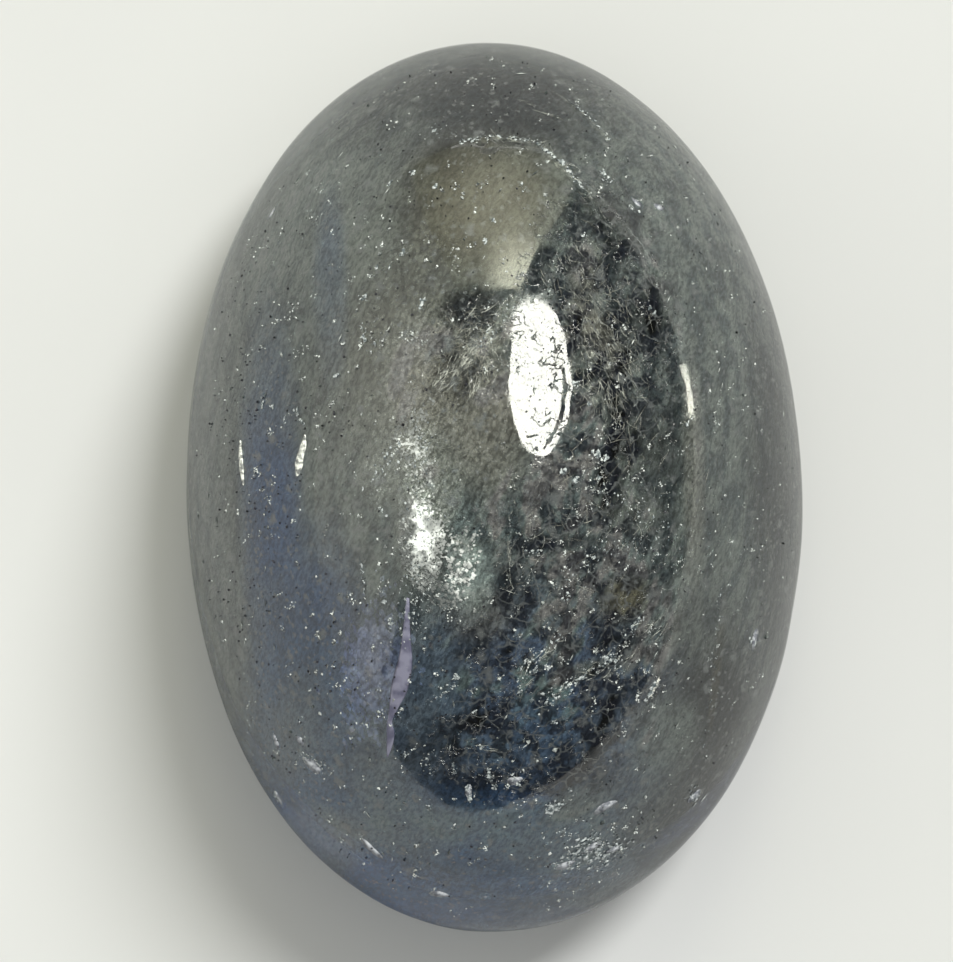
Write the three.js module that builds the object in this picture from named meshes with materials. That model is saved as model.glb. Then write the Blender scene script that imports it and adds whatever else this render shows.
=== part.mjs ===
import * as THREE from "three";
import { mergeVertices } from "three/addons/utils/BufferGeometryUtils.js";

// A star sapphire cut as an oval cabochon, in millimetres: width along X, length along Y, dome up.
// It is one crystal, so it is one closed solid, resting on the flat of its back.
const width = 7.0;
const length = 10.1;
const girdleHeight = 1.35; // the widest level, above the flat back
const domeHeight = 3.7; // from the girdle to the top
const flatShare = 0.62; // the flat back's share of the outline
const domeCut = 0.95; // the dome is the top of a larger ellipsoid, this share of its radius at the girdle
const girdleRounding = 0.16; // how far above and below the girdle its edge is rubbed round

// Uneven hand cutting, as shares of the half width: three and four soft lobes round the outline.
const threeLobes = { by: 0.0052, turn: THREE.MathUtils.degToRad(-14) };
const fourLobes = { by: 0.0047, turn: THREE.MathUtils.degToRad(47) };
// The top of the dome stands off the middle of the outline.
const lean = new THREE.Vector2(0.15, 0.27);

const stepsRound = 72;
const stepsUpDome = 22;
const stepsUpBack = 8;
const stepsOverGirdle = 4;

// The section: radius as a share of the outline, from the middle of the back up to the top. The back
// is a quarter ellipse from the flat to the girdle, and the dome the top of a larger ellipse.
function sectionPoints() {
  const backTop = girdleHeight - girdleRounding;
  const backArc = new THREE.EllipseCurve(flatShare, backTop, 1 - flatShare, backTop, -Math.PI / 2, 0);
  const sineAtGirdle = Math.sqrt(1 - domeCut * domeCut);
  const domeReach = domeHeight / (1 - sineAtGirdle);
  const domeFoot = girdleHeight - domeReach * sineAtGirdle;
  const domeStart = Math.asin((girdleHeight + girdleRounding - domeFoot) / domeReach);
  const domeArc = new THREE.EllipseCurve(0, domeFoot, 1 / domeCut, domeReach, domeStart, Math.PI / 2);
  const girdleEdge = new THREE.Vector2(1, girdleHeight);
  const girdleArc = new THREE.QuadraticBezierCurve(backArc.getPoint(1), girdleEdge, domeArc.getPoint(0));
  const points = [
    new THREE.Vector2(0, 0),
    ...backArc.getPoints(stepsUpBack),
    ...girdleArc.getPoints(stepsOverGirdle).slice(1, -1),
    ...domeArc.getPoints(stepsUpDome),
  ];
  points.at(-1).x = 0;
  return points;
}

function outlineLobes(angle) {
  return 1
    + threeLobes.by * Math.cos(3 * (angle - threeLobes.turn))
    + fourLobes.by * Math.cos(4 * (angle - fourLobes.turn));
}

// The share of the lean at a height: none up to the girdle, then a quarter sine wave to the top.
function leanShare(z) {
  const up = THREE.MathUtils.clamp((z - girdleHeight) / domeHeight, 0, 1);
  return Math.sin(up * Math.PI / 2);
}

// The round turned form is drawn out to the oval, with its lobes and its lean.
function cabochonGeometry() {
  const turned = new THREE.LatheGeometry(sectionPoints(), stepsRound);
  turned.deleteAttribute("normal");
  turned.deleteAttribute("uv");
  turned.rotateX(Math.PI / 2);
  const geometry = mergeVertices(turned, 1e-5);
  const place = geometry.attributes.position;
  for (let i = 0; i < place.count; i += 1) {
    const z = place.getZ(i);
    const lobes = outlineLobes(Math.atan2(place.getY(i), place.getX(i)));
    const slide = leanShare(z);
    place.setX(i, place.getX(i) * lobes * width / 2 + lean.x * slide);
    place.setY(i, place.getY(i) * lobes * length / 2 + lean.y * slide);
  }
  fitOutline(geometry);
  geometry.computeVertexNormals();
  return geometry;
}

// The lobes move the widest points a little, so the outline is brought back to its width and length.
function fitOutline(geometry) {
  geometry.computeBoundingBox();
  const size = geometry.boundingBox.getSize(new THREE.Vector3());
  const middle = geometry.boundingBox.getCenter(new THREE.Vector3());
  geometry.translate(-middle.x, -middle.y, 0);
  geometry.scale(width / size.x, length / size.y, 1);
}

const sapphire = new THREE.MeshStandardMaterial({ color: 0x5c6570, roughness: 0.15, metalness: 0 });

const cabochon = new THREE.Mesh(cabochonGeometry(), sapphire);
cabochon.name = "star_sapphire_cabochon";

const group = new THREE.Group();
group.add(cabochon);

export default group;
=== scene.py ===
import math

import bpy
import numpy as np
from mathutils import Matrix, Vector


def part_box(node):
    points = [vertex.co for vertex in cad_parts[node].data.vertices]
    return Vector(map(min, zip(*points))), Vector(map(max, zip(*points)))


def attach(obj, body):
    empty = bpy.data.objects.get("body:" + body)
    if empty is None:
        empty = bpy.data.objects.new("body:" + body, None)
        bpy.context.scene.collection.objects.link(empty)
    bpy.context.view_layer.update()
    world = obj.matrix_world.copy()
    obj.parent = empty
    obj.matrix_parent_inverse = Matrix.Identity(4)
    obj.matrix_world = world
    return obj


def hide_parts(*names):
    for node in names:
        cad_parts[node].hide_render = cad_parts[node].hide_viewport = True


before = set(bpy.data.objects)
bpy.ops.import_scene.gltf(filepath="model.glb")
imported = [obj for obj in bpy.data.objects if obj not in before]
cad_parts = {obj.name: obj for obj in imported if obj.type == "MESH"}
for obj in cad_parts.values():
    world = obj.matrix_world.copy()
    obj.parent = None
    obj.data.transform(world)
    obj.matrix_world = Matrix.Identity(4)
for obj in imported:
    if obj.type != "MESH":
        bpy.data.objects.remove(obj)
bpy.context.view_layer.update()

# Everything below is worked out in millimetres and handed to Blender in metres
mm = 0.001
stoneNode = "star_sapphire_cabochon"
stoneBody = "root"
cadLow, cadHigh = (np.array(corner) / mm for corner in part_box(stoneNode))
print("frame loaded, stone box in mm", cadLow.round(2), cadHigh.round(2))


# The cut of the stone
cut = {
    "width": cadHigh[0] - cadLow[0],
    "length": cadHigh[1] - cadLow[1],
    "girdle": 1.35,  # height of the widest level
    "dome": 3.7,  # from the girdle to the top
    "flat": 0.62,  # the flat back's share of the outline
    "domeCut": 0.95,  # the dome is the top of a larger ellipsoid, this share of its radius
    "rounding": 0.16,  # above and below the girdle
    "threeLobes": (0.0052, -14.0),  # share of the half width, and degrees
    "fourLobes": (0.0047, 47.0),
    "lean": (0.15, 0.27),  # how far the top stands off the middle
    "around": 400,
    "ringsFlat": 16,
    "ringsBack": 26,
    "ringsGirdle": 12,
    "ringsDome": 188,
}
sineAtGirdle = math.sqrt(1 - cut["domeCut"] ** 2)
domeReach = cut["dome"] / (1 - sineAtGirdle)
domeFoot = cut["girdle"] - domeReach * sineAtGirdle


def lobes(angle):
    # one plus a three-lobed and a four-lobed cosine of the angle round the outline
    (three, threeTurn), (four, fourTurn) = cut["threeLobes"], cut["fourLobes"]
    return (1 + three * np.cos(3 * (angle - math.radians(threeTurn)))
            + four * np.cos(4 * (angle - math.radians(fourTurn))))


def outlineFit(steps=3600):
    # the middle and the half sizes of the lobed outline, which are then fitted to the solid's box
    angle = np.linspace(0, 2 * np.pi, steps, endpoint=False)
    x = lobes(angle) * np.cos(angle) * cut["width"] / 2
    y = lobes(angle) * np.sin(angle) * cut["length"] / 2
    middle = np.array([x.max() + x.min(), y.max() + y.min()]) / 2
    grow = np.array([cut["width"] / np.ptp(x), cut["length"] / np.ptp(y)])
    return middle, grow


outlineMiddle, outlineGrow = outlineFit()


def leanShare(height):
    # none up to the girdle, then a quarter sine wave to the top
    return np.sin(np.clip((height - cut["girdle"]) / cut["dome"], 0, 1) * np.pi / 2)


def drawnOut(share, angle, height):
    # a turned section point (radius as a share, height in mm) drawn out to the lobed oval, each level
    # sliding with the lean
    slide = leanShare(height)
    x = share * np.cos(angle) * lobes(angle) * cut["width"] / 2 + cut["lean"][0] * slide
    y = share * np.sin(angle) * lobes(angle) * cut["length"] / 2 + cut["lean"][1] * slide
    x = (x - outlineMiddle[0]) * outlineGrow[0]
    y = (y - outlineMiddle[1]) * outlineGrow[1]
    return np.stack([x, y, height + 0 * x], -1)


def domeHeight(share):
    # the larger ellipsoid's height, foot + reach * sqrt(1 - (share * domeCut)^2)
    return domeFoot + domeReach * np.sqrt(np.clip(1 - (share * cut["domeCut"]) ** 2, 0, 1))


def domePoint(share, angle):
    # the dome's point above that share of the outline
    return drawnOut(share, angle, domeHeight(share))


def domeNormal(share, angle, step=1e-3):
    # the cross product of the slopes along the radius and round the angle
    share = np.maximum(share, 1e-4)
    here = domePoint(share, angle)
    outward = domePoint(share + step, angle) - here
    sideways = domePoint(share, angle + step) - here
    normal = np.cross(outward, sideways)
    normal /= np.linalg.norm(normal, axis=-1, keepdims=True)
    return normal * np.sign(normal[..., 2:3])


def domeUnder(x, y, rounds=8, most=0.985):
    # share and angle of the dome point at (x, y) mm, by a few rounds of taking the lean off again
    px, py = x / outlineGrow[0] + outlineMiddle[0], y / outlineGrow[1] + outlineMiddle[1]
    share = np.zeros_like(px)
    for _ in range(rounds):
        slide = leanShare(domeHeight(share))
        ux = (px - cut["lean"][0] * slide) / (cut["width"] / 2)
        uy = (py - cut["lean"][1] * slide) / (cut["length"] / 2)
        angle = np.arctan2(uy, ux)
        share = np.clip(np.hypot(ux, uy) / lobes(angle), 0, most)
    return share, angle


def onStone(x, y, depth):
    # points in mm a given depth under the dome, straight in along its normal, and those normals
    share, angle = domeUnder(np.asarray(x, float), np.asarray(y, float))
    normal = domeNormal(share, angle)
    return domePoint(share, angle) - normal * np.asarray(depth, float)[..., None], normal


def waveField(points, shortest, longest, count, seed):
    # a smooth random height: many plane sine waves in random directions, each as high as it is long
    rng = np.random.default_rng(seed)
    length = np.exp(rng.uniform(math.log(shortest), math.log(longest), count))
    direction = rng.normal(size=(count, 3))
    direction /= np.linalg.norm(direction, axis=1, keepdims=True)
    phase = rng.uniform(0, 2 * np.pi, count)
    total = np.zeros(points.shape[:-1])
    for way, span, start in zip(direction, length, phase):
        total += span * np.sin(points @ way * 2 * np.pi / span + start)
    return total / math.sqrt((length ** 2).sum() / 2)


# Putting arrays into meshes
def meshFrom(name, points, quads=None, triangles=None, smooth=True):
    # one mesh out of points in mm and rows of four and of three corners
    mesh = bpy.data.meshes.new(name)
    points = np.asarray(points, np.float32).reshape(-1, 3) * np.float32(mm)
    groups = [np.asarray(g, np.int32) for g in (quads, triangles) if g is not None]
    corners = np.concatenate([g.ravel() for g in groups])
    sizes = np.concatenate([np.full(len(g), g.shape[1], np.int32) for g in groups])
    mesh.vertices.add(len(points))
    mesh.vertices.foreach_set("co", points.ravel())
    mesh.loops.add(len(corners))
    mesh.loops.foreach_set("vertex_index", corners)
    mesh.polygons.add(len(sizes))
    mesh.polygons.foreach_set("loop_start", (np.cumsum(sizes) - sizes).astype(np.int32))
    mesh.polygons.foreach_set("use_smooth", np.full(len(sizes), smooth))
    mesh.update(calc_edges=True)
    return mesh


pieceCollection = bpy.data.collections.new("stone")
bpy.context.scene.collection.children.link(pieceCollection)


def addPiece(mesh, material):
    # a piece of the same name as its mesh
    piece = bpy.data.objects.new(mesh.name, mesh)
    pieceCollection.objects.link(piece)
    mesh.materials.append(material)
    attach(piece, stoneBody)
    print("made", mesh.name, len(mesh.polygons), "faces")
    return piece


# Node helpers
def newMaterial(name):
    material = bpy.data.materials.new(name)
    material.use_nodes = True
    tree = material.node_tree
    return material, tree, tree.nodes["Principled BSDF"]


def addNode(tree, kind, **settings):
    node = tree.nodes.new(kind)
    for name, value in settings.items():
        setattr(node, name, value)
    return node


def feed(tree, socket, value):
    if isinstance(value, bpy.types.NodeSocket):
        tree.links.new(value, socket)
    else:
        socket.default_value = value


def maths(tree, operation, a, b=0.0):
    node = addNode(tree, "ShaderNodeMath", operation=operation)
    feed(tree, node.inputs[0], a)
    feed(tree, node.inputs[1], b)
    return node.outputs[0]


def rangeOf(tree, value, low, high, toLow=0.0, toHigh=1.0):
    # a smooth step from one value to another while the given one goes from low to high
    node = addNode(tree, "ShaderNodeMapRange", interpolation_type="SMOOTHSTEP")
    for socket, v in zip(node.inputs, (value, low, high, toLow, toHigh)):
        feed(tree, socket, v)
    return node.outputs[0]


def blendColours(tree, share, a, b, mode="MIX"):
    # colours are sockets or plain red, green and blue
    node = addNode(tree, "ShaderNodeMix", data_type="RGBA", blend_type=mode)
    feed(tree, node.inputs[0], share)
    for socket, v in ((node.inputs[6], a), (node.inputs[7], b)):
        feed(tree, socket, v if isinstance(v, bpy.types.NodeSocket) else (*v, 1.0))
    return node.outputs[2]


def newGroup(name, inputs):
    # a group of effects: a vector and named numbers or vectors in, one number out
    group = bpy.data.node_groups.new(name, "ShaderNodeTree")
    group.interface.new_socket("Vector", in_out="INPUT", socket_type="NodeSocketVector")
    for label, value in inputs.items():
        kind = "NodeSocketVector" if isinstance(value, tuple) else "NodeSocketFloat"
        socket = group.interface.new_socket(label, in_out="INPUT", socket_type=kind)
        socket.default_value = value
    group.interface.new_socket("Mask", in_out="OUTPUT", socket_type="NodeSocketFloat")
    return group, addNode(group, "NodeGroupInput").outputs, addNode(group, "NodeGroupOutput").inputs[0]


def useGroup(tree, group, **values):
    node = addNode(tree, "ShaderNodeGroup", node_tree=group)
    for name, value in values.items():
        feed(tree, node.inputs[name], value)
    return node.outputs[0]


def millimetres(tree):
    # object coordinates in mm
    where = addNode(tree, "ShaderNodeTexCoord")
    scale = addNode(tree, "ShaderNodeMapping")
    scale.inputs["Scale"].default_value = (1 / mm,) * 3
    tree.links.new(where.outputs["Object"], scale.inputs["Vector"])
    return scale.outputs["Vector"]


# Effects that more than one material uses
def cloudGroup():
    # soft clouds: a noise, nothing up to its low value and full from its high one
    group, given, out = newGroup(
        "Cloud", {"Size": 1.0, "Detail": 2.0, "Roughness": 0.5, "Low": 0.4, "High": 0.6})
    noise = addNode(group, "ShaderNodeTexNoise", noise_dimensions="2D")
    for name in ("Vector", "Detail", "Roughness"):
        feed(group, noise.inputs[name], given[name])
    feed(group, noise.inputs["Scale"], maths(group, "DIVIDE", 1.0, given["Size"]))
    feed(group, out, rangeOf(group, noise.outputs[0], given["Low"], given["High"]))
    return group


def speckGroup():
    # soft uneven grains: the distance to the nearest of scattered points, measured in a space that a noise
    # bends, fading out over a radius that each point draws
    finer, reach, least = 2.5, 0.7, 0.25  # the bending noise's scale and reach, and the smallest radius
    group, given, out = newGroup("Specks", {"Spacing": 0.2, "Radius": 0.2, "To": 0.3})
    scale = maths(group, "DIVIDE", 1.0, given["Spacing"])
    bend = addNode(group, "ShaderNodeTexNoise", noise_dimensions="2D")
    feed(group, bend.inputs["Vector"], given["Vector"])
    feed(group, bend.inputs["Scale"], maths(group, "MULTIPLY", scale, finer))
    moved = addNode(group, "ShaderNodeVectorMath", operation="MULTIPLY_ADD")
    feed(group, moved.inputs[0], bend.outputs["Color"])
    feed(group, moved.inputs[1], maths(group, "MULTIPLY", given["Spacing"], reach))
    feed(group, moved.inputs[2], given["Vector"])
    points = addNode(group, "ShaderNodeTexVoronoi", voronoi_dimensions="2D", feature="F1")
    feed(group, points.inputs["Vector"], moved.outputs[0])
    feed(group, points.inputs["Scale"], scale)
    split = addNode(group, "ShaderNodeSeparateColor")
    feed(group, split.inputs[0], points.outputs["Color"])
    shown = maths(group, "LESS_THAN", split.outputs[0], given["To"])
    radius = maths(group, "MULTIPLY", given["Radius"], maths(group, "ADD", split.outputs[1], least))
    inside = rangeOf(group, points.outputs["Distance"], radius, 0.0)
    feed(group, out, maths(group, "MULTIPLY", shown, inside))
    return group


def wispGroup():
    # curling wisps: where a noise crosses its middle value of a half
    group, given, out = newGroup("Curling wisps", {"Size": 0.3, "Width": 0.02})
    noise = addNode(group, "ShaderNodeTexNoise", noise_dimensions="2D")
    noise.inputs["Detail"].default_value = 2.0
    feed(group, noise.inputs["Vector"], given["Vector"])
    feed(group, noise.inputs["Scale"], maths(group, "DIVIDE", 1.0, given["Size"]))
    off = maths(group, "ABSOLUTE", maths(group, "SUBTRACT", noise.outputs[0], 0.5))
    feed(group, out, rangeOf(group, off, given["Width"], 0.0))
    return group


def patchGroup():
    # one in the middle of an ellipsoid, falling to nothing at its skin
    group, given, out = newGroup("Soft patch", {"Middle": (0.0, 0.0, 0.0), "Half": (1.0, 1.0, 1.0)})
    place = addNode(group, "ShaderNodeMapping", vector_type="TEXTURE")
    for name, source in (("Vector", "Vector"), ("Location", "Middle"), ("Scale", "Half")):
        feed(group, place.inputs[name], given[source])
    fall = addNode(group, "ShaderNodeTexGradient", gradient_type="SPHERICAL")
    feed(group, fall.inputs["Vector"], place.outputs["Vector"])
    feed(group, out, rangeOf(group, fall.outputs["Fac"], 0.0, 1.0))
    return group


cloud, specks, wisps, softPatch = cloudGroup(), speckGroup(), wispGroup(), patchGroup()


def movedBy(tree, where, push, reach):
    # places shifted by a colour, whose values lie about a half, as far as the reach
    moved = addNode(tree, "ShaderNodeVectorMath", operation="MULTIPLY_ADD")
    for socket, value in zip(moved.inputs, (push, reach, where)):
        feed(tree, socket, value)
    return moved.outputs[0]


# The sapphire itself
sapphire = {
    "through": 0.9,  # share of light that goes on into the stone
    "bending": 1.77,
    "depthColour": (0.42, 0.52, 0.70),
    "depthDensity": 1000.0,  # per metre
    "polish": (0.02, 0.09),  # roughness over the dark gaps and beside them
    "thread": (0.88, 0.95, 0.98),
    "gap": (0.04, 0.05, 0.09),
    "gapShare": 0.82,
    "blotches": {"Size": 0.24, "Detail": 3.0, "Roughness": 0.58, "Low": 0.42, "High": 0.58},
    "grain": {"Size": 0.045, "Detail": 3.0, "Roughness": 0.75, "Low": 0.3, "High": 0.7},
    "grainTurn": 62.0,  # degrees from X, the way in which the grain is drawn out
    "grainStretch": 2.2,
    "grainDarkLight": (0.6, 1.45),
    "cells": 0.20,  # mm, the cells of the net of pale strands
    "strandWidth": 0.09,  # as a share of a cell
    "strandTones": (0.35, 0.6, 0.1, 0.8),  # the noise's range, and how strong the strands are over it
    "largeSpecks": {"Spacing": 0.28, "Radius": 0.34, "To": 0.4},
    "smallSpecks": {"Spacing": 0.11, "Radius": 0.34, "To": 0.4},
    "speckShare": 0.9,
    "marks": {"Size": 0.15, "Width": 0.03},
    "markPatches": {"Size": 0.25, "Detail": 1.0, "Roughness": 0.5, "Low": 0.47, "High": 0.56},
    "markedWebs": (0.15, 0.5),  # no marks where the net is fainter, all of them where it is stronger
    "markDepth": 0.010,  # mm
}
bodyColours = {
    "thin": (0.35, 0.45, 0.47),  # where the clouding is thin and thick
    "thick": (0.70, 0.82, 0.78),
    "olive": (0.60, 0.62, 0.54),
    "amber": (0.24, 0.18, 0.06),
    "brown": (0.34, 0.33, 0.24),
    "pale": (0.95, 1.0, 0.91),
    "mist": (0.85, 1.0, 0.95),
    "ice": (0.62, 0.84, 1.0),
    "indigo": (0.14, 0.32, 0.78),
    "azure": (0.36, 0.56, 1.0),
    "deep": (0.08, 0.36, 0.92),
    "grey": (0.64, 0.72, 0.66),
    "black": (0.03, 0.04, 0.06),
    "sand": (0.95, 0.95, 0.84),
    "lavender": (0.68, 0.74, 1.0),
    "navy": (0.08, 0.19, 0.40),
    "veilTurn": 60.0,  # degrees from X, the way in which the veils run
    "veilStretch": 0.4,
    "patchWaves": (0.7, 3.0, 60),  # mm, the shortest and longest wave, and how many
    "veilWaves": (0.30, 1.1, 90),
    "veilContrast": 1.8,
    "mottleWaves": (0.09, 0.36, 200),
    "mottleContrast": 1.5,
    "veils": 1.3,  # how far they lighten and darken
    "mottles": 0.9,
    "zoneShare": (0.6, 0.5),  # of a zone's strength: what is always there and what the patches add
    "leastWebbed": 0.15,
    "seed": 41,
}
# colour, middle and half sizes in mm, turn in degrees, strength; the later ones lie over the earlier ones
zones = [
    ("olive", (-0.9, 1.9), (1.4, 2.4), 0, 0.8),
    ("pale", (-0.70, 1.1), (0.7, 1.2), 0, 1.0),
    ("pale", (-0.4, 0.6), (0.9, 1.1), 0, 0.6),
    ("amber", (-0.1, 3.1), (1.1, 1.0), 0, 1.0),
    ("mist", (-1.9, 3.0), (1.2, 1.5), 0, 0.6),
    ("grey", (-2.9, 0.8), (0.5, 2.4), 0, 0.3),
    ("indigo", (-2.45, -0.3), (0.45, 2.9), 0, 0.95),
    ("indigo", (-1.9, -1.5), (0.6, 1.5), 0, 0.9),
    ("indigo", (-1.75, 2.2), (0.25, 1.4), 0, 0.5),
    ("grey", (-1.9, 0.9), (0.3, 1.5), 0, 0.3),
    ("azure", (0.1, -2.7), (2.3, 2.1), 0, 0.9),
    ("deep", (-2.2, -2.7), (0.9, 1.5), 0, 0.8),
    ("deep", (-0.9, -4.1), (2.6, 1.2), 0, 0.95),
    ("ice", (1.0, -4.05), (1.0, 0.6), 0, 0.8),
    ("ice", (-1.0, -3.7), (0.9, 0.5), 0, 0.9),
    ("mist", (-2.25, -2.6), (0.4, 0.9), -20, 0.4),
    ("brown", (2.35, -2.6), (0.6, 1.6), 0, 0.3),
    # the next five darken the rim at the top, the right and the lower right: painted shade of the edge
    ("black", (0.0, 4.3), (2.4, 1.1), 0, 0.8),
    ("black", (3.5, 0.2), (0.9, 4.8), 0, 0.9),
    ("black", (2.6, -3.1), (1.0, 1.9), 0, 0.8),
    ("black", (2.35, -2.0), (0.6, 1.0), 0, 0.4),
    ("black", (1.95, -3.75), (1.0, 0.7), 35, 0.6),
    ("lavender", (-1.4, -1.8), (0.5, 0.9), 0, 0.3),
    # light and dark veils that show through the dark middle
    ("black", (1.05, 2.30), (0.85, 1.30), 12, 0.55),
    ("black", (1.80, 0.20), (0.35, 1.60), 0, 0.5),
    ("black", (-0.25, 1.92), (0.40, 0.30), 0, 0.9),
    ("pale", (-0.15, 1.42), (0.55, 0.15), 43, 0.8),
    ("sand", (1.00, 2.35), (0.25, 0.50), 0, 0.5),
    ("sand", (1.12, 1.60), (0.60, 0.24), -54, 0.9),
    ("black", (1.42, 1.00), (0.45, 0.60), 0, 0.5),
    ("sand", (0.00, 0.60), (0.60, 0.90), 0, 1.0),
    ("sand", (-0.65, 1.05), (0.55, 0.60), 0, 1.1),
    ("grey", (1.60, 0.45), (0.35, 0.45), 0, 0.5),
    ("grey", (1.50, -0.30), (0.40, 0.32), 0, 0.7),
    ("black", (0.55, -0.60), (0.75, 0.14), 4, 0.8),
    ("sand", (-0.22, -1.35), (0.50, 0.40), 0, 0.7),
    ("grey", (0.72, -0.95), (0.32, 0.30), 0, 0.6),
    ("grey", (0.62, -1.50), (0.20, 0.55), 10, 0.6),
    ("black", (0.24, -1.15), (0.24, 0.55), 0, 1.0),
    ("brown", (1.36, -1.22), (0.42, 0.34), 30, 1.0),
    ("black", (1.12, -1.50), (0.16, 0.45), -25, 0.7),
    ("mist", (1.57, -1.62), (0.60, 0.13), 45, 0.9),
    ("mist", (0.85, -2.00), (0.60, 0.13), 14, 0.8),
    ("azure", (0.34, -2.25), (0.45, 0.14), 56, 0.7),
    ("ice", (-0.60, -2.30), (0.45, 0.85), 0, 0.5),
    ("black", (0.50, -2.85), (1.00, 0.45), 0, 0.6),
    ("black", (1.55, -2.35), (0.45, 0.45), 0, 0.7),
    # these three brighten the body where the star glows: painted sheen
    ("mist", (-0.28, -0.95), (0.34, 0.50), 0, 1.0),
    ("pale", (-1.27, 0.10), (0.25, 0.45), 0, 0.6),
    ("pale", (-0.80, -0.25), (0.42, 1.20), 0, 1.0),
    ("ice", (0.05, -2.60), (1.20, 0.60), 0, 0.40),
    ("navy", (0.20, -2.75), (1.35, 0.75), 0, 0.75),
    ("azure", (-0.05, -2.45), (0.40, 0.30), 0, 0.5),
    ("navy", (-0.35, -3.32), (0.70, 0.22), 0, 0.9),
    ("black", (-0.10, -3.14), (0.90, 0.22), 0, 0.6),
    ("black", (-0.88, -2.92), (0.22, 0.30), 30, 0.6),
    ("ice", (-0.20, -3.62), (0.90, 0.22), 0, 0.5),
    ("ice", (-1.25, -3.30), (0.45, 0.40), 0, 0.7),
    ("ice", (0.10, -3.88), (0.60, 0.40), 0, 0.6),
    ("mist", (0.85, -3.47), (0.55, 0.28), 25, 0.8),
    ("mist", (1.80, -2.75), (0.50, 0.60), -30, 0.9),
    ("mist", (-2.05, -3.95), (0.70, 0.55), 0, 0.7),
    ("brown", (2.40, -2.00), (0.07, 1.00), -6, 0.7),
    ("black", (1.25, 2.75), (0.35, 0.75), 20, 0.4),
    ("black", (1.72, 1.75), (0.26, 0.90), 12, 0.5),
    ("mist", (1.95, 2.35), (0.20, 0.80), 12, 0.5),
    ("pale", (2.15, 0.00), (0.16, 1.70), 0, 0.8),
    ("pale", (1.88, -1.65), (0.14, 0.60), -22, 0.5),
]
# middle, half sizes and strength of the places where the net of strands and the dark gaps show
webZones = [
    ((1.15, 1.5), (1.05, 2.2), 1.2), ((0.75, -1.4), (1.5, 2.4), 1.1), ((-0.2, 1.4), (0.7, 0.8), 0.6),
    # on the next line the last two clear the net and gaps from the painted star glow
    ((0.1, 0.4), (0.8, 1.1), -0.3), ((-0.28, -0.95), (0.5, 0.6), -0.8), ((-0.8, -0.3), (0.5, 1.2), -0.6),
    ((0.25, -2.75), (1.2, 0.8), 1.1),
]


def bodyShades(points):
    # colour by place: thin to thick clouding, then each zone over it with strength * smooth(1 - r^2), where
    # r is the distance from its middle in half sizes, and long veils that lighten and darken all of it; the
    # fourth number says how strongly the fine pattern shows
    c = bodyColours
    turn = math.radians(c["veilTurn"])
    along = points[:, 0] * math.cos(turn) + points[:, 1] * math.sin(turn)
    across = points[:, 1] * math.cos(turn) - points[:, 0] * math.sin(turn)
    drawn = np.stack([along * c["veilStretch"], across, points[:, 2]], -1)
    wide, veil, mottle = (
        0.5 + 0.5 * np.tanh(contrast * waveField(where, *waves, c["seed"] + more))[:, None]
        for contrast, where, waves, more in (
            (1.0, points, c["patchWaves"], 0), (c["veilContrast"], drawn, c["veilWaves"], 2),
            (c["mottleContrast"], drawn, c["mottleWaves"], 1)))

    def patch(middle, half, turn=0.0):
        # smooth(f) = 3 f^2 - 2 f^3 of f = 1 - r^2
        cos, sin = math.cos(math.radians(turn)), math.sin(math.radians(turn))
        off = (points[:, :2] - middle) @ np.array([[cos, -sin], [sin, cos]]) / half
        fall = np.clip(1 - (off ** 2).sum(1, keepdims=True), 0, 1)
        return fall * fall * (3 - 2 * fall)

    shade = (1 - mottle) * np.array(c["thin"]) + mottle * np.array(c["thick"])
    always, added = c["zoneShare"]
    for colour, middle, half, turned, strength in zones:
        share = strength * patch(middle, half, turned) * (always + added * wide)
        shade = shade + (np.array(c[colour]) - shade) * np.clip(share, 0, 1)
    webs = np.clip(sum(strength * patch(middle, half) for middle, half, strength in webZones), 0, 1)
    webbed = c["leastWebbed"] + (1 - c["leastWebbed"]) * webs
    shade = shade * (1 + webbed * (c["veils"] * (veil - 0.5) + c["mottles"] * (mottle - 0.5)))
    return np.hstack([np.clip(shade, 0, 1), webbed])


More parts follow.
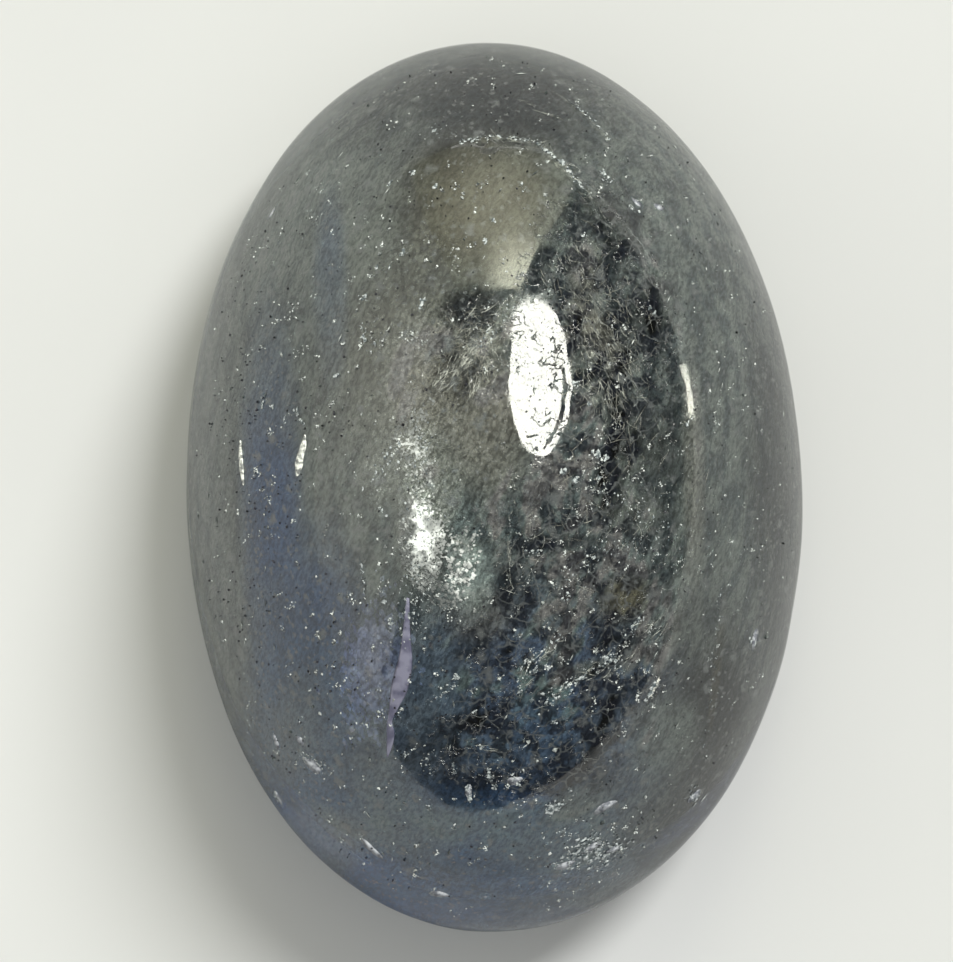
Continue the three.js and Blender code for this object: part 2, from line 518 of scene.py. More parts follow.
def sapphireMaterial(s):
    # see-through, with the clouding of the vertices and a finer pattern laid out on the polish
    material, tree, shader = newMaterial("polished star sapphire")
    chart = addNode(tree, "ShaderNodeUVMap", uv_map="polish").outputs[0]
    clouding = addNode(tree, "ShaderNodeAttribute", attribute_name="clouding")
    body, webbed = clouding.outputs["Color"], clouding.outputs["Alpha"]
    # dark gaps between the webs
    blotches = useGroup(tree, cloud, Vector=chart, **s["blotches"])
    dark = maths(tree, "MULTIPLY", maths(tree, "SUBTRACT", 1.0, blotches), webbed)
    body = blendColours(tree, maths(tree, "MULTIPLY", dark, s["gapShare"]), body, s["gap"])
    # fine grain, drawn out one way
    streaky = addNode(tree, "ShaderNodeMapping", vector_type="TEXTURE")
    streaky.inputs["Rotation"].default_value = (0, 0, math.radians(s["grainTurn"]))
    streaky.inputs["Scale"].default_value = (s["grainStretch"], 1.0, 1.0)
    feed(tree, streaky.inputs["Vector"], chart)
    grain = useGroup(tree, cloud, Vector=streaky.outputs[0], **s["grain"])
    body = blendColours(tree, 1.0, body, rangeOf(tree, grain, 0.0, 1.0, *s["grainDarkLight"]), "MULTIPLY")
    # a net of pale strands along the edges of cells that a noise bends
    bend = addNode(tree, "ShaderNodeTexNoise", noise_dimensions="2D")
    feed(tree, bend.inputs["Vector"], chart)
    bend.inputs["Scale"].default_value = 1 / s["cells"]
    net = addNode(tree, "ShaderNodeTexVoronoi", voronoi_dimensions="2D", feature="DISTANCE_TO_EDGE")
    feed(tree, net.inputs["Vector"], movedBy(tree, chart, bend.outputs["Color"], (s["cells"],) * 3))
    net.inputs["Scale"].default_value = 1 / s["cells"]
    edges = rangeOf(tree, net.outputs["Distance"], s["strandWidth"], 0.0)
    strands = maths(tree, "MULTIPLY", edges, webbed)
    strands = maths(tree, "MULTIPLY", strands, rangeOf(tree, bend.outputs[0], *s["strandTones"]))
    body = blendColours(tree, strands, body, s["thread"])
    # pale specks of two sizes
    large = useGroup(tree, specks, Vector=chart, **s["largeSpecks"])
    small = useGroup(tree, specks, Vector=chart, **s["smallSpecks"])
    pale = maths(tree, "MULTIPLY", maths(tree, "MAXIMUM", large, small), s["speckShare"])
    body = blendColours(tree, pale, body, s["thread"])
    feed(tree, shader.inputs["Base Color"], body)
    feed(tree, shader.inputs["Roughness"], rangeOf(tree, blotches, 0.0, 1.0, *s["polish"]))
    shader.inputs["IOR"].default_value = s["bending"]
    shader.inputs["Transmission Weight"].default_value = s["through"]
    # hairline marks left by the polishing
    marks = maths(tree, "MULTIPLY", useGroup(tree, wisps, Vector=chart, **s["marks"]),
                  useGroup(tree, cloud, Vector=chart, **s["markPatches"]))
    marks = maths(tree, "MULTIPLY", marks, rangeOf(tree, webbed, *s["markedWebs"]))
    bump = addNode(tree, "ShaderNodeBump", invert=True)
    bump.inputs["Strength"].default_value = 1.0
    bump.inputs["Distance"].default_value = s["markDepth"] * mm
    feed(tree, bump.inputs["Height"], marks)
    feed(tree, shader.inputs["Normal"], bump.outputs["Normal"])
    depth = addNode(tree, "ShaderNodeVolumeAbsorption")
    depth.inputs["Color"].default_value = (*s["depthColour"], 1.0)
    depth.inputs["Density"].default_value = s["depthDensity"]
    tree.links.new(depth.outputs["Volume"], tree.nodes["Material Output"].inputs["Volume"])
    return material


relief = {
    "wave": 0.004,  # mm, the soft unevenness that makes the reflections waver
    "waves": (0.7, 3.0, 60),  # mm, the shortest and longest, and how many
    "waveMiddle": 1.5,  # keeps the waves below the cut
    "ripple": 0.0002,
    "ripples": (0.12, 0.4, 90),
    "evenTo": 0.15,  # mm up from the flat, no waves below this height
    "unevenFrom": 0.75,  # and full ones above this one
    "pits": 90,
    "pitReach": 0.9,
    "pitRadius": (0.03, 0.09),
    "pitDepth": (0.002, 0.009),
    "grooveStray": 0.02,
    "grooveWaves": (0.12, 0.5, 40),
    "grooves": [  # from and to in mm, half width, depth
        (0.62, 1.72, 0.78, 1.25, 0.024, 0.0030), (0.78, 1.25, 0.74, 0.70, 0.024, 0.0030),
        (0.74, 0.70, 0.55, 0.40, 0.022, 0.0025), (0.34, 0.52, 0.60, 0.46, 0.020, 0.0030),
    ],
    "chartSeam": 0.7,  # the patterns of back and dome meet at this height
    "seed": 11,
}


def sectionRings():
    # the section from the middle of the back to the top: the flat, a quarter ellipse, a parabola over
    # the girdle (p = (1-t)^2 a + 2t(1-t) b + t^2 c) and the dome's ellipse
    top = cut["girdle"] - cut["rounding"]
    t = np.linspace(0, 1, cut["ringsFlat"], endpoint=False)[1:, None]
    flatPart = t * [cut["flat"], 0.0]
    a = np.linspace(-np.pi / 2, 0, cut["ringsBack"])[:, None]
    backPart = np.hstack([cut["flat"] + (1 - cut["flat"]) * np.cos(a), top + top * np.sin(a)])
    domeStart = math.asin((cut["girdle"] + cut["rounding"] - domeFoot) / domeReach)
    e = np.linspace(domeStart, np.pi / 2, cut["ringsDome"])[:-1, None]
    domePart = np.hstack([np.cos(e) / cut["domeCut"], domeFoot + domeReach * np.sin(e)])
    g = np.linspace(0, 1, cut["ringsGirdle"])[1:-1, None]
    edge = np.array([1.0, cut["girdle"]])
    girdlePart = (1 - g) ** 2 * backPart[-1] + 2 * g * (1 - g) * edge + g ** 2 * domePart[0]
    return np.vstack([flatPart, backPart, girdlePart, domePart])


def flatChart(points, middle):
    # lays the surface out flat round one point: as far from it as along the surface, in the same direction
    start = np.broadcast_to(middle, points[:1].shape)
    steps = np.linalg.norm(np.diff(points, axis=0, prepend=start), axis=-1)
    way = points[..., :2] - middle[:2]
    way /= np.linalg.norm(way, axis=-1, keepdims=True)
    return way * np.cumsum(steps, axis=0)[..., None]


def polishMarks(points):
    # round pits, each as deep as a bell curve of the distance to its middle, and grooves, as deep as a bell
    # curve of the distance to a line, on the dome only
    rng = np.random.default_rng(relief["seed"] + 2)
    share = np.sqrt(rng.uniform(0, relief["pitReach"], relief["pits"]))
    middles = domePoint(share, rng.uniform(0, 2 * np.pi, relief["pits"]))
    radius = rng.uniform(*relief["pitRadius"], relief["pits"])
    depth = rng.uniform(*relief["pitDepth"], relief["pits"])
    total = np.zeros(points.shape[:-1])
    for middle, r, d in zip(middles, radius, depth):
        total += d * np.exp(-((points - middle) ** 2).sum(-1) / (r * r))
    dome = points[..., 2] > cut["girdle"]
    stray = relief["grooveStray"] * waveField(points, *relief["grooveWaves"], relief["seed"] + 3)
    bent = points[..., :2] + stray[..., None]
    for x0, y0, x1, y1, half, deep in relief["grooves"]:
        way = np.array([x1 - x0, y1 - y0])
        along = np.clip(((bent - (x0, y0)) @ way) / (way @ way), 0, 1)
        off = bent - (x0, y0) - along[..., None] * way
        total += dome * deep * np.exp(-(off ** 2).sum(-1) / half ** 2)
    return total


def polishedStone():
    # the section's rings drawn out to the oval, closed by a fan of triangles round each pole
    rings = sectionRings()
    angle = np.linspace(0, 2 * np.pi, cut["around"], endpoint=False)
    points = drawnOut(rings[:, 0:1], angle[None, :], rings[:, 1:2])
    along = np.gradient(points, axis=0)
    around = (np.roll(points, -1, 1) - np.roll(points, 1, 1)) / 2
    normal = np.cross(around, along)
    normal /= np.linalg.norm(normal, axis=-1, keepdims=True)
    # unevenness pushes points in along the normal; none on the flat
    even, uneven = relief["evenTo"], relief["unevenFrom"]
    polish = np.clip((rings[:, 1] - even) / (uneven - even), 0, 1)[:, None]
    lower = relief["wave"] * (waveField(points, *relief["waves"], relief["seed"]) - relief["waveMiddle"])
    lower += relief["ripple"] * waveField(points, *relief["ripples"], relief["seed"] + 1)
    lower -= polishMarks(points)
    points += normal * (lower * polish)[..., None]
    rows, columns = points.shape[:2]
    index = np.arange(rows * columns).reshape(rows, columns)
    quads = np.stack([index[:-1], np.roll(index, -1, 1)[:-1], np.roll(index, -1, 1)[1:], index[1:]], -1)
    foot = np.stack([np.full(columns, rows * columns), np.roll(index[0], -1), index[0]], -1)
    crown = np.stack([np.full(columns, rows * columns + 1), index[-1], np.roll(index[-1], -1)], -1)
    poles = np.stack([drawnOut(0.0, 0.0, 0.0), points[-1].mean(0)])
    every = np.vstack([points.reshape(-1, 3), poles])
    mesh = meshFrom("polished_cabochon", every, quads.reshape(-1, 4), np.vstack([foot, crown]))
    # two flat charts, one round each pole, which meet below the girdle
    charts = [np.vstack([c.reshape(-1, 2), np.zeros((2, 2))]) for c in
              (flatChart(points, poles[0]), flatChart(points[::-1], poles[1])[::-1])]
    below = np.repeat(rings[:-1, 1] < relief["chartSeam"], columns * 4)
    below = np.concatenate([below, np.full(columns * 3, True), np.full(columns * 3, False)])
    corners = np.concatenate([quads.ravel(), foot.ravel(), crown.ravel()])
    chart = np.where(below[:, None], charts[0][corners], charts[1][corners])
    mesh.uv_layers.new(name="polish").data.foreach_set("uv", chart.astype(np.float32).ravel())
    shade = bodyShades(every)
    layer = mesh.color_attributes.new(name="clouding", type="FLOAT_COLOR", domain="POINT")
    layer.data.foreach_set("color", shade.astype(np.float32).ravel())
    return addPiece(mesh, sapphireMaterial(sapphire))


# What grew inside
sowing = {
    "tries": 5,  # places that are tried for each one that is kept
    "clumpWaves": (0.25, 1.3, 50),  # mm, the shortest and longest, and how many
    "leastWeight": 0.05,
}
insideLook = {
    "clouds": {"Low": 0.35, "High": 0.65},
    "paleGloss": 0.6,  # the paler places' share of the roughness
    "specular": 0.15,
    "ragged": 5.0,  # per mm, how fine the ragged edges of the painted glows are
    "raggedDetail": 3.0,
    "raggedReach": 0.7,  # mm
    "paintedGlowTones": (0.6, 0.5),  # what the clouds add in a painted glow, and what is always there
}


def inclusionMaterial(name, darker, paler, size, roughness, paintedGlowCores=()):
    # clouded from one colour to the other, and where there are painted glows most of all in their middles:
    # a painted sheen of the star
    look = insideLook
    material, tree, shader = newMaterial(name)
    where = millimetres(tree)
    tone = useGroup(tree, cloud, Vector=where, Size=size, **look["clouds"])
    if paintedGlowCores:
        ragged = addNode(tree, "ShaderNodeTexNoise", noise_dimensions="2D")
        feed(tree, ragged.inputs["Vector"], where)
        ragged.inputs["Scale"].default_value = look["ragged"]
        ragged.inputs["Detail"].default_value = look["raggedDetail"]
        reach = look["raggedReach"]
        where = movedBy(tree, where, ragged.outputs["Color"], (reach, reach, 0.0))
        near = 0.0
        for (x, y), (halfX, halfY), strength in paintedGlowCores:
            middle = (x + reach / 2, y + reach / 2, cut["girdle"] + cut["dome"])
            paintedGlowCore = useGroup(tree, softPatch, Vector=where, Middle=middle, Half=(halfX, halfY, cut["dome"]))
            near = maths(tree, "ADD", near, maths(tree, "MULTIPLY", paintedGlowCore, strength))
        clouded, always = look["paintedGlowTones"]
        tone = maths(tree, "ADD", maths(tree, "MULTIPLY", tone, clouded), always)
        tone = maths(tree, "MULTIPLY", tone, near)
    gloss = rangeOf(tree, tone, 0.0, 1.0, roughness, roughness * look["paleGloss"])
    feed(tree, shader.inputs["Base Color"], blendColours(tree, tone, darker, paler))
    feed(tree, shader.inputs["Roughness"], gloss)
    shader.inputs["Specular IOR Level"].default_value = look["specular"]
    return material


def sow(rng, count, reach, clumps, thick, seed):
    # places (x, y) in mm spread over the outline, closer together in clumps and in the thick patches, each
    # of which is its middle's x and y, its half sizes and how much thicker it is
    tried = sowing["tries"] * count
    share, angle = reach * np.sqrt(rng.uniform(0, 1, tried)), rng.uniform(0, 2 * np.pi, tried)
    x, y = share * np.cos(angle) * cut["width"] / 2, share * np.sin(angle) * cut["length"] / 2
    field = waveField(np.stack([x, y, 0 * x], -1), *sowing["clumpWaves"], seed)
    weight = np.clip(1 + clumps * field, sowing["leastWeight"], None)
    for px, py, hx, hy, gain in thick:
        weight *= 1 + gain * np.exp(-((x - px) / hx) ** 2 - ((y - py) / hy) ** 2)
    pick = rng.choice(len(x), count, replace=False, p=weight / weight.sum())
    return x[pick], y[pick]


def bentRods(centres, turns, length, radius, bow, curl, segments):
    # three-sided rods: p(t) = centre + along * length * t + sideways * length * (bow * (4 t^2 - 1/3)
    # + curl * (8 t^3 - 2 t)), t from -1/2 to 1/2, thinning to the ends as 1 - 3/4 (2 t)^4
    along, sideways, up = turns[..., 0], turns[..., 1], turns[..., 2]
    t = np.linspace(-0.5, 0.5, segments + 1)
    wander = bow[:, None] * (4 * t ** 2 - 1 / 3) + curl[:, None] * (8 * t ** 3 - 2 * t)
    path = (centres[:, None] + along[:, None] * (length[:, None] * t)[..., None]
            + sideways[:, None] * (length[:, None] * wander)[..., None])
    corner = np.arange(3) * 2 * np.pi / 3
    ring = sideways[:, None] * np.cos(corner)[:, None] + up[:, None] * np.sin(corner)[:, None]
    thin = 1 - 0.75 * (2 * t) ** 4
    points = path[:, :, None] + ring[:, None] * (radius[:, None] * thin)[..., None, None]
    index = np.arange(points[..., 0].size).reshape(points.shape[:3])
    turned = np.roll(index, -1, 2)
    quads = np.stack([index[:, :-1], index[:, 1:], turned[:, 1:], turned[:, :-1]], -1).reshape(-1, 4)
    ends = np.vstack([index[:, 0], index[:, -1, ::-1]])
    return points, quads, ends


octahedronPoints = np.array([[1, 0, 0], [-1, 0, 0], [0, 1, 0], [0, -1, 0], [0, 0, 1], [0, 0, -1]], float)
octahedronFaces = np.array([[0, 2, 4], [2, 1, 4], [1, 3, 4], [3, 0, 4],
                            [2, 0, 5], [1, 2, 5], [3, 1, 5], [0, 3, 5]])


def anyTurns(count, rng):
    # random rotation matrices, from unit quaternions
    q = rng.normal(size=(count, 4))
    w, x, y, z = (q / np.linalg.norm(q, axis=1, keepdims=True)).T
    return np.stack([
        1 - 2 * (y * y + z * z), 2 * (x * y - z * w), 2 * (x * z + y * w),
        2 * (x * y + z * w), 1 - 2 * (x * x + z * z), 2 * (y * z - x * w),
        2 * (x * z - y * w), 2 * (y * z + x * w), 1 - 2 * (x * x + y * y)], -1).reshape(count, 3, 3)


def lyingTurns(normal, turn):
    # rotations whose third axis is the surface normal and whose first lies at an angle to X
    flat = np.stack([np.cos(turn), np.sin(turn), 0 * turn], -1)
    first = flat - normal * (flat * normal).sum(-1, keepdims=True)
    first /= np.linalg.norm(first, axis=-1, keepdims=True)
    return np.stack([first, np.cross(normal, first), normal], -1)


def addCrystals(name, material, centres, halfAxes, turns):
    # small crystals: octahedra with three unlike half axes
    points = np.einsum("nij,pj->npi", turns * halfAxes[:, None, :], octahedronPoints) + centres[:, None]
    faces = octahedronFaces + np.arange(len(centres))[:, None, None] * len(octahedronPoints)
    return addPiece(meshFrom(name, points, None, faces.reshape(-1, 3), False), material)


# rutile silk: needles and curled threads, with sizes in mm and turns in degrees, as everywhere below
silk = {
    "needles": 6000,
    "needleTurns": (-24.0, 36.0, 96.0),  # degrees, the three directions in which rutile grows
    "needleStray": 0.25,  # radians
    "needleLength": (0.03, 0.3),  # the shortest, and how much longer they get
    "needleRadius": (0.0009, 0.0019),
    "needleDepths": (0.16, 1.4),  # how deep they lie on average, and at most
    "needleClumps": 0.5,
    "needleBow": 0.03,
    "needleBends": 2,
    "wisps": 5000,
    "wispLength": (0.03, 0.15),
    "wispRadius": (0.0009, 0.0021),
    "wispDepths": (0.04, 0.5),
    "wispClumps": 0.8,
    "wispBow": 0.16,
    "wispCurl": 0.10,
    "wispBends": 5,
    "leastDepth": 0.02,
    "cropOut": (0.35, 0.001),  # the share that reaches the surface in the thick patches, and its depth
    "reach": 0.93,  # share of the outline
    "thick": [(1.0, 1.9, 0.6, 1.0, 6.0), (-0.15, 1.45, 0.5, 0.4, 6.0), (0.1, 1.75, 0.35, 0.3, 6.0),
              (1.0, -0.2, 0.7, 0.9, 0.5)],
    "finish": {"darker": (0.14, 0.14, 0.12), "paler": (0.42, 0.42, 0.37), "size": 0.3, "roughness": 0.5},
    "seed": 21,
}


def silkDepths(s, rng, x, y, deep, most):
    # depths in mm: exponential, but some of the thick patches' threads crop out at the surface
    near = sum(np.exp(-((x - px) / hx) ** 2 - ((y - py) / hy) ** 2) for px, py, hx, hy, _ in s["thick"])
    buried = s["leastDepth"] + rng.exponential(deep, len(x)).clip(0, most)
    share, shallow = s["cropOut"]
    return np.where(rng.uniform(0, 1, len(x)) < share * near.clip(0, 1), shallow, buried)


def silkNeedles(s, material):
    # nearly straight rods along the three directions; lengths follow the square of a chance
    rng = np.random.default_rng(s["seed"])
    count = s["needles"]
    x, y = sow(rng, count, s["reach"], s["needleClumps"], s["thick"], s["seed"])
    centres, normal = onStone(x, y, silkDepths(s, rng, x, y, *s["needleDepths"]))
    turn = np.radians(rng.choice(s["needleTurns"], count)) + rng.normal(0, s["needleStray"], count)
    turns = lyingTurns(normal, turn)
    shortest, more = s["needleLength"]
    length = rng.uniform(0, 1, count) ** 2 * more + shortest
    rods = bentRods(centres, turns, length, rng.uniform(*s["needleRadius"], count),
                    rng.normal(0, s["needleBow"], count), np.zeros(count), s["needleBends"])
    return addPiece(meshFrom("silk_needles", *rods, False), material)


def silkWisps(s, material):
    # short threads that bow and curl, in any direction along the surface
    rng = np.random.default_rng(s["seed"] + 1)
    count = s["wisps"]
    x, y = sow(rng, count, s["reach"], s["wispClumps"], s["thick"], s["seed"] + 1)
    centres, normal = onStone(x, y, silkDepths(s, rng, x, y, *s["wispDepths"]))
    turns = lyingTurns(normal, rng.uniform(0, np.pi, count))
    rods = bentRods(centres, turns, rng.uniform(*s["wispLength"], count),
                    rng.uniform(*s["wispRadius"], count), rng.normal(0, s["wispBow"], count),
                    rng.normal(0, s["wispCurl"], count), s["wispBends"])
    return addPiece(meshFrom("silk_wisps", *rods, False), material)


# pale and dark grains; some dark ones are painted shade of pits on the highlight
dust = {
    "inside": 900,
    "surface": 1600,
    "size": (0.005, 0.012),
    "grades": (0.6, 1.2, 2.4),  # how many times that size they are
    "gradeShares": (0.60, 0.32, 0.08),
    "insideDepths": (0.03, 0.25),  # mm, the least, and how much deeper they lie on average
    "surfaceSunk": 0.3,  # share of the size
    "unlike": (0.6, 1.5),  # the half axes as shares of the size
    "clumps": 0.3,
    "thick": [(0.3, -0.2, 1.9, 2.9, -0.75)],
    "reach": 0.96,  # share of the outline
    "dashes": 120,
    "dashTurn": (62.0, 14.0),  # degrees, and how far they stray
    "dashHalf": ((0.02, 0.07), (0.005, 0.012), 0.006),  # length, width and thickness
    "finish": {"darker": (0.05, 0.06, 0.06), "paler": (0.46, 0.49, 0.48), "size": 0.12, "roughness": 0.5},
    "seed": 31,
}
darkSpecksAndPitShade = {
    "grains": 850,
    "size": (0.0065, 0.0156),
    "sunk": 0.2,
    "unlike": (0.6, 1.5),
    "clumps": 0.5,
    # the second thick patch lies on the highlight, where its dark grains paint the shade of pits
    "thick": [(-2.7, 0.0, 0.6, 2.5, 3.0), (0.5, 1.25, 0.25, 0.7, 4.0), (2.9, 0.0, 0.9, 5.0, -0.75)],
    "reach": 0.96,
    "finish": {"darker": (0.01, 0.01, 0.012), "paler": (0.04, 0.04, 0.05), "size": 0.2, "roughness": 0.6},
    "seed": 32,
}


def paleGrains(d, material):
    # crystals of three grades, the first ones inside and the others at the surface
    rng = np.random.default_rng(d["seed"])
    count = d["inside"] + d["surface"]
    x, y = sow(rng, count, d["reach"], d["clumps"], d["thick"], d["seed"])
    size = rng.uniform(*d["size"], count) * rng.choice(d["grades"], count, p=d["gradeShares"])
    least, deeper = d["insideDepths"]
    inside = np.arange(count) < d["inside"]
    depth = np.where(inside, least + rng.exponential(deeper, count), size * d["surfaceSunk"])
    centres, normal = onStone(x, y, depth)
    axes = size[:, None] * rng.uniform(*d["unlike"], (count, 3))
    turns = anyTurns(count, rng)
    # some lie as dashes, all much the same way
    dash = rng.permutation(count) < d["dashes"]
    turns[dash] = lyingTurns(normal, np.radians(rng.normal(*d["dashTurn"], count)))[dash]
    length, width, thickness = d["dashHalf"]
    axes[dash] = np.stack([rng.uniform(*length, count), rng.uniform(*width, count),
                           np.full(count, thickness)], -1)[dash]
    return addCrystals("pale_grains", material, centres, axes, turns)


def darkGrainsAndPitShade(d, material):
    # crystals at the surface, turned anyhow; those clumped on the lamp's highlight are painted shade of its
    # pits
    rng = np.random.default_rng(d["seed"])
    count = d["grains"]
    x, y = sow(rng, count, d["reach"], d["clumps"], d["thick"], d["seed"])
    size = rng.uniform(*d["size"], count)
    centres, _ = onStone(x, y, size * d["sunk"])
    axes = size[:, None] * rng.uniform(*d["unlike"], (count, 3))
    return addCrystals("dark_grains_and_pit_shade", material, centres, axes, anyTurns(count, rng))


# trails of small crystals
crystals = {
    # from and to in mm, how far they stray, how many, how large
    "trails": [
        (0.22, -2.21, 0.67, -1.56, 0.045, 26, 0.018), (0.46, -2.35, 1.22, -1.85, 0.057, 46, 0.020),
        (1.22, -1.85, 1.32, -1.96, 0.045, 14, 0.020), (1.34, -1.64, 1.57, -1.40, 0.034, 14, 0.018),
        (-0.75, -2.31, -0.45, -2.11, 0.034, 14, 0.016), (1.00, -0.79, 0.67, -1.21, 0.079, 22, 0.016),
        (1.62, -2.31, 1.71, -2.14, 0.017, 9, 0.025), (-2.53, 1.16, -2.53, 0.89, 0.034, 9, 0.020),
        (-2.22, 0.93, -2.07, 0.73, 0.028, 12, 0.020), (-1.33, 0.06, -1.05, 0.42, 0.079, 16, 0.019),
        (-1.24, -0.18, -1.21, -0.30, 0.034, 8, 0.019), (-1.46, -0.78, -1.44, -1.11, 0.017, 8, 0.017),
        (-1.16, -1.37, -1.17, -1.50, 0.017, 7, 0.022), (-0.63, 3.95, -0.51, 3.89, 0.057, 8, 0.020),
        (-0.31, 3.78, 0.01, 3.84, 0.023, 12, 0.017), (0.01, 3.84, 0.52, 3.77, 0.017, 16, 0.015),
        (0.52, 3.77, 0.80, 3.52, 0.017, 16, 0.018), (0.80, 3.52, 1.03, 3.21, 0.017, 16, 0.018),
        (0.90, 4.27, 1.13, 4.06, 0.017, 12, 0.017), (1.13, 4.06, 1.36, 3.79, 0.017, 12, 0.016),
        (1.22, 3.42, 1.36, 3.30, 0.045, 12, 0.019), (1.52, 3.04, 1.64, 2.97, 0.017, 6, 0.018),
        (-1.22, 2.42, -1.31, 2.30, 0.017, 7, 0.018), (-1.09, 2.43, -1.11, 2.33, 0.017, 6, 0.017),
        (-0.94, 2.58, -0.98, 2.51, 0.017, 5, 0.017), (-0.72, 2.05, -0.79, 1.93, 0.017, 9, 0.020),
        (-1.39, 2.10, -1.39, 2.05, 0.023, 4, 0.022), (-1.39, 1.77, -1.39, 1.62, 0.023, 9, 0.023),
        (-1.31, 1.51, -1.20, 1.63, 0.045, 8, 0.017), (0.35, 3.27, 0.39, 3.18, 0.017, 6, 0.019),
        (0.22, -1.97, 0.29, -1.86, 0.009, 6, 0.012), (0.29, -1.86, 0.38, -1.85, 0.009, 5, 0.012),
        (-2.21, -2.93, -1.97, -3.09, 0.068, 26, 0.022), (0.52, -3.56, 0.64, -3.48, 0.045, 26, 0.025),
        (0.65, -4.24, 1.37, -4.01, 0.09, 60, 0.032), (0.82, -4.03, 1.09, -3.90, 0.07, 36, 0.028),
        (2.11, -3.43, 2.24, -3.55, 0.045, 16, 0.023), (2.76, -1.69, 2.89, -1.84, 0.045, 10, 0.020),
        (-2.58, -3.43, -2.43, -3.51, 0.045, 10, 0.020), (1.15, -0.05, 1.75, -0.35, 0.12, 34, 0.015),
        (0.95, -0.75, 1.95, -0.55, 0.09, 44, 0.015), (0.30, -0.68, 0.62, -0.71, 0.03, 12, 0.013),
        (0.15, -0.20, 0.14, -1.15, 0.012, 16, 0.008), (-0.74, 0.62, -0.82, -0.20, 0.13, 60, 0.012),
        (-0.80, -0.30, -0.95, -1.55, 0.15, 130, 0.014), (-0.15, 1.50, 0.30, 2.05, 0.07, 40, 0.012),
        (2.46, -1.10, 2.26, -2.95, 0.03, 34, 0.012), (-0.52, -2.98, -0.50, -3.12, 0.012, 10, 0.016),
        (-0.37, -3.24, -0.34, -3.42, 0.014, 22, 0.022), (-0.14, -3.02, -0.10, -3.20, 0.012, 12, 0.018),
        (0.12, -3.12, 0.20, -3.26, 0.016, 14, 0.020), (-0.82, -2.92, -0.76, -3.10, 0.020, 9, 0.016),
    ],
    # place and size of single ones in mm
    "singles": [
        (-0.45, -2.03, 0.029), (0.52, -1.95, 0.027), (0.39, -1.98, 0.020), (-0.20, -2.81, 0.026),
        (-0.13, -3.14, 0.022), (-0.06, -3.26, 0.025), (-1.03, -2.90, 0.022), (0.58, -2.54, 0.025),
        (0.35, -2.30, 0.020), (-0.27, -2.41, 0.019), (0.76, -3.33, 0.020), (-0.83, 3.44, 0.029),
        (-0.59, 3.28, 0.023), (-1.09, 3.34, 0.022), (0.80, 3.52, 0.034), (1.01, 2.71, 0.022),
        (-0.06, 2.67, 0.025), (0.03, 2.89, 0.020), (0.46, 2.83, 0.022), (-1.70, 1.25, 0.025),
        (-2.43, 0.93, 0.023), (1.09, 0.33, 0.034), (1.20, 0.29, 0.023), (0.72, 0.15, 0.027),
        (0.86, 0.07, 0.034), (1.11, 0.08, 0.022), (0.87, 1.10, 0.029), (1.02, 0.88, 0.020),
        (-0.80, -3.49, 0.023), (-1.22, -1.21, 0.025), (1.76, 1.86, 0.022), (1.71, 1.91, 0.020),
        (2.09, 0.64, 0.022), (1.59, -2.34, 0.018), (0.20, -4.44, 0.023),
    ],
    "toOne": 3,  # how many there are for each one that a trail names
    "largeShare": 0.33,
    "strays": (0.6, 1.1),  # of the large and the small ones
    "sizes": (0.35, 1.25),
    "small": 0.4,  # size of the small ones
    "cluster": 12,  # each single one is a tight cluster
    "clusterSpread": 0.6,
    "clusterSizes": (0.25, 0.75),
    "sunk": (0.0, 0.4),
    "shape": (1.5, 1.0, 0.4),  # half axes as shares of the size
    "unlike": (0.5, 1.2),
    "turn": (62.0, 40.0),  # degrees, and how far they stray
    "finish": {"darker": (0.10, 0.12, 0.13), "paler": (0.50, 0.54, 0.55), "size": 0.04, "roughness": 0.35},
    "seed": 51,
}


def crystalTrails(c, material):
    # crystals along straight trails, p = from * (1 - t) + to * t, each straying by a normal chance
    rng = np.random.default_rng(c["seed"])
    rows = np.array(c["trails"])
    row = np.repeat(rows, c["toOne"] * rows[:, 5].astype(int), axis=0)
    share = rng.uniform(0, 1, (len(row), 1))
    large = rng.uniform(0, 1, len(row)) < c["largeShare"]
    stray = rng.normal(size=(len(row), 2)) * (row[:, 4] * np.where(large, *c["strays"]))[:, None]
    place = row[:, :2] * (1 - share) + row[:, 2:4] * share + stray
    size = row[:, 6] * rng.uniform(*c["sizes"], len(row)) * np.where(large, 1.0, c["small"])
    spots = np.repeat(np.array(c["singles"]), c["cluster"], axis=0)
    apart = rng.normal(size=(len(spots), 2)) * spots[:, 2:] * c["clusterSpread"]
    place = np.vstack([place, spots[:, :2] + apart])
    size = np.concatenate([size, spots[:, 2] * rng.uniform(*c["clusterSizes"], len(spots))])
    centres, normal = onStone(place[:, 0], place[:, 1], size * rng.uniform(*c["sunk"], len(size)))
    axes = size[:, None] * np.array(c["shape"]) * rng.uniform(*c["unlike"], (len(size), 3))
    turns = lyingTurns(normal, np.radians(rng.normal(*c["turn"], len(size))))
    return addCrystals("crystal_trails", material, centres, axes, turns)


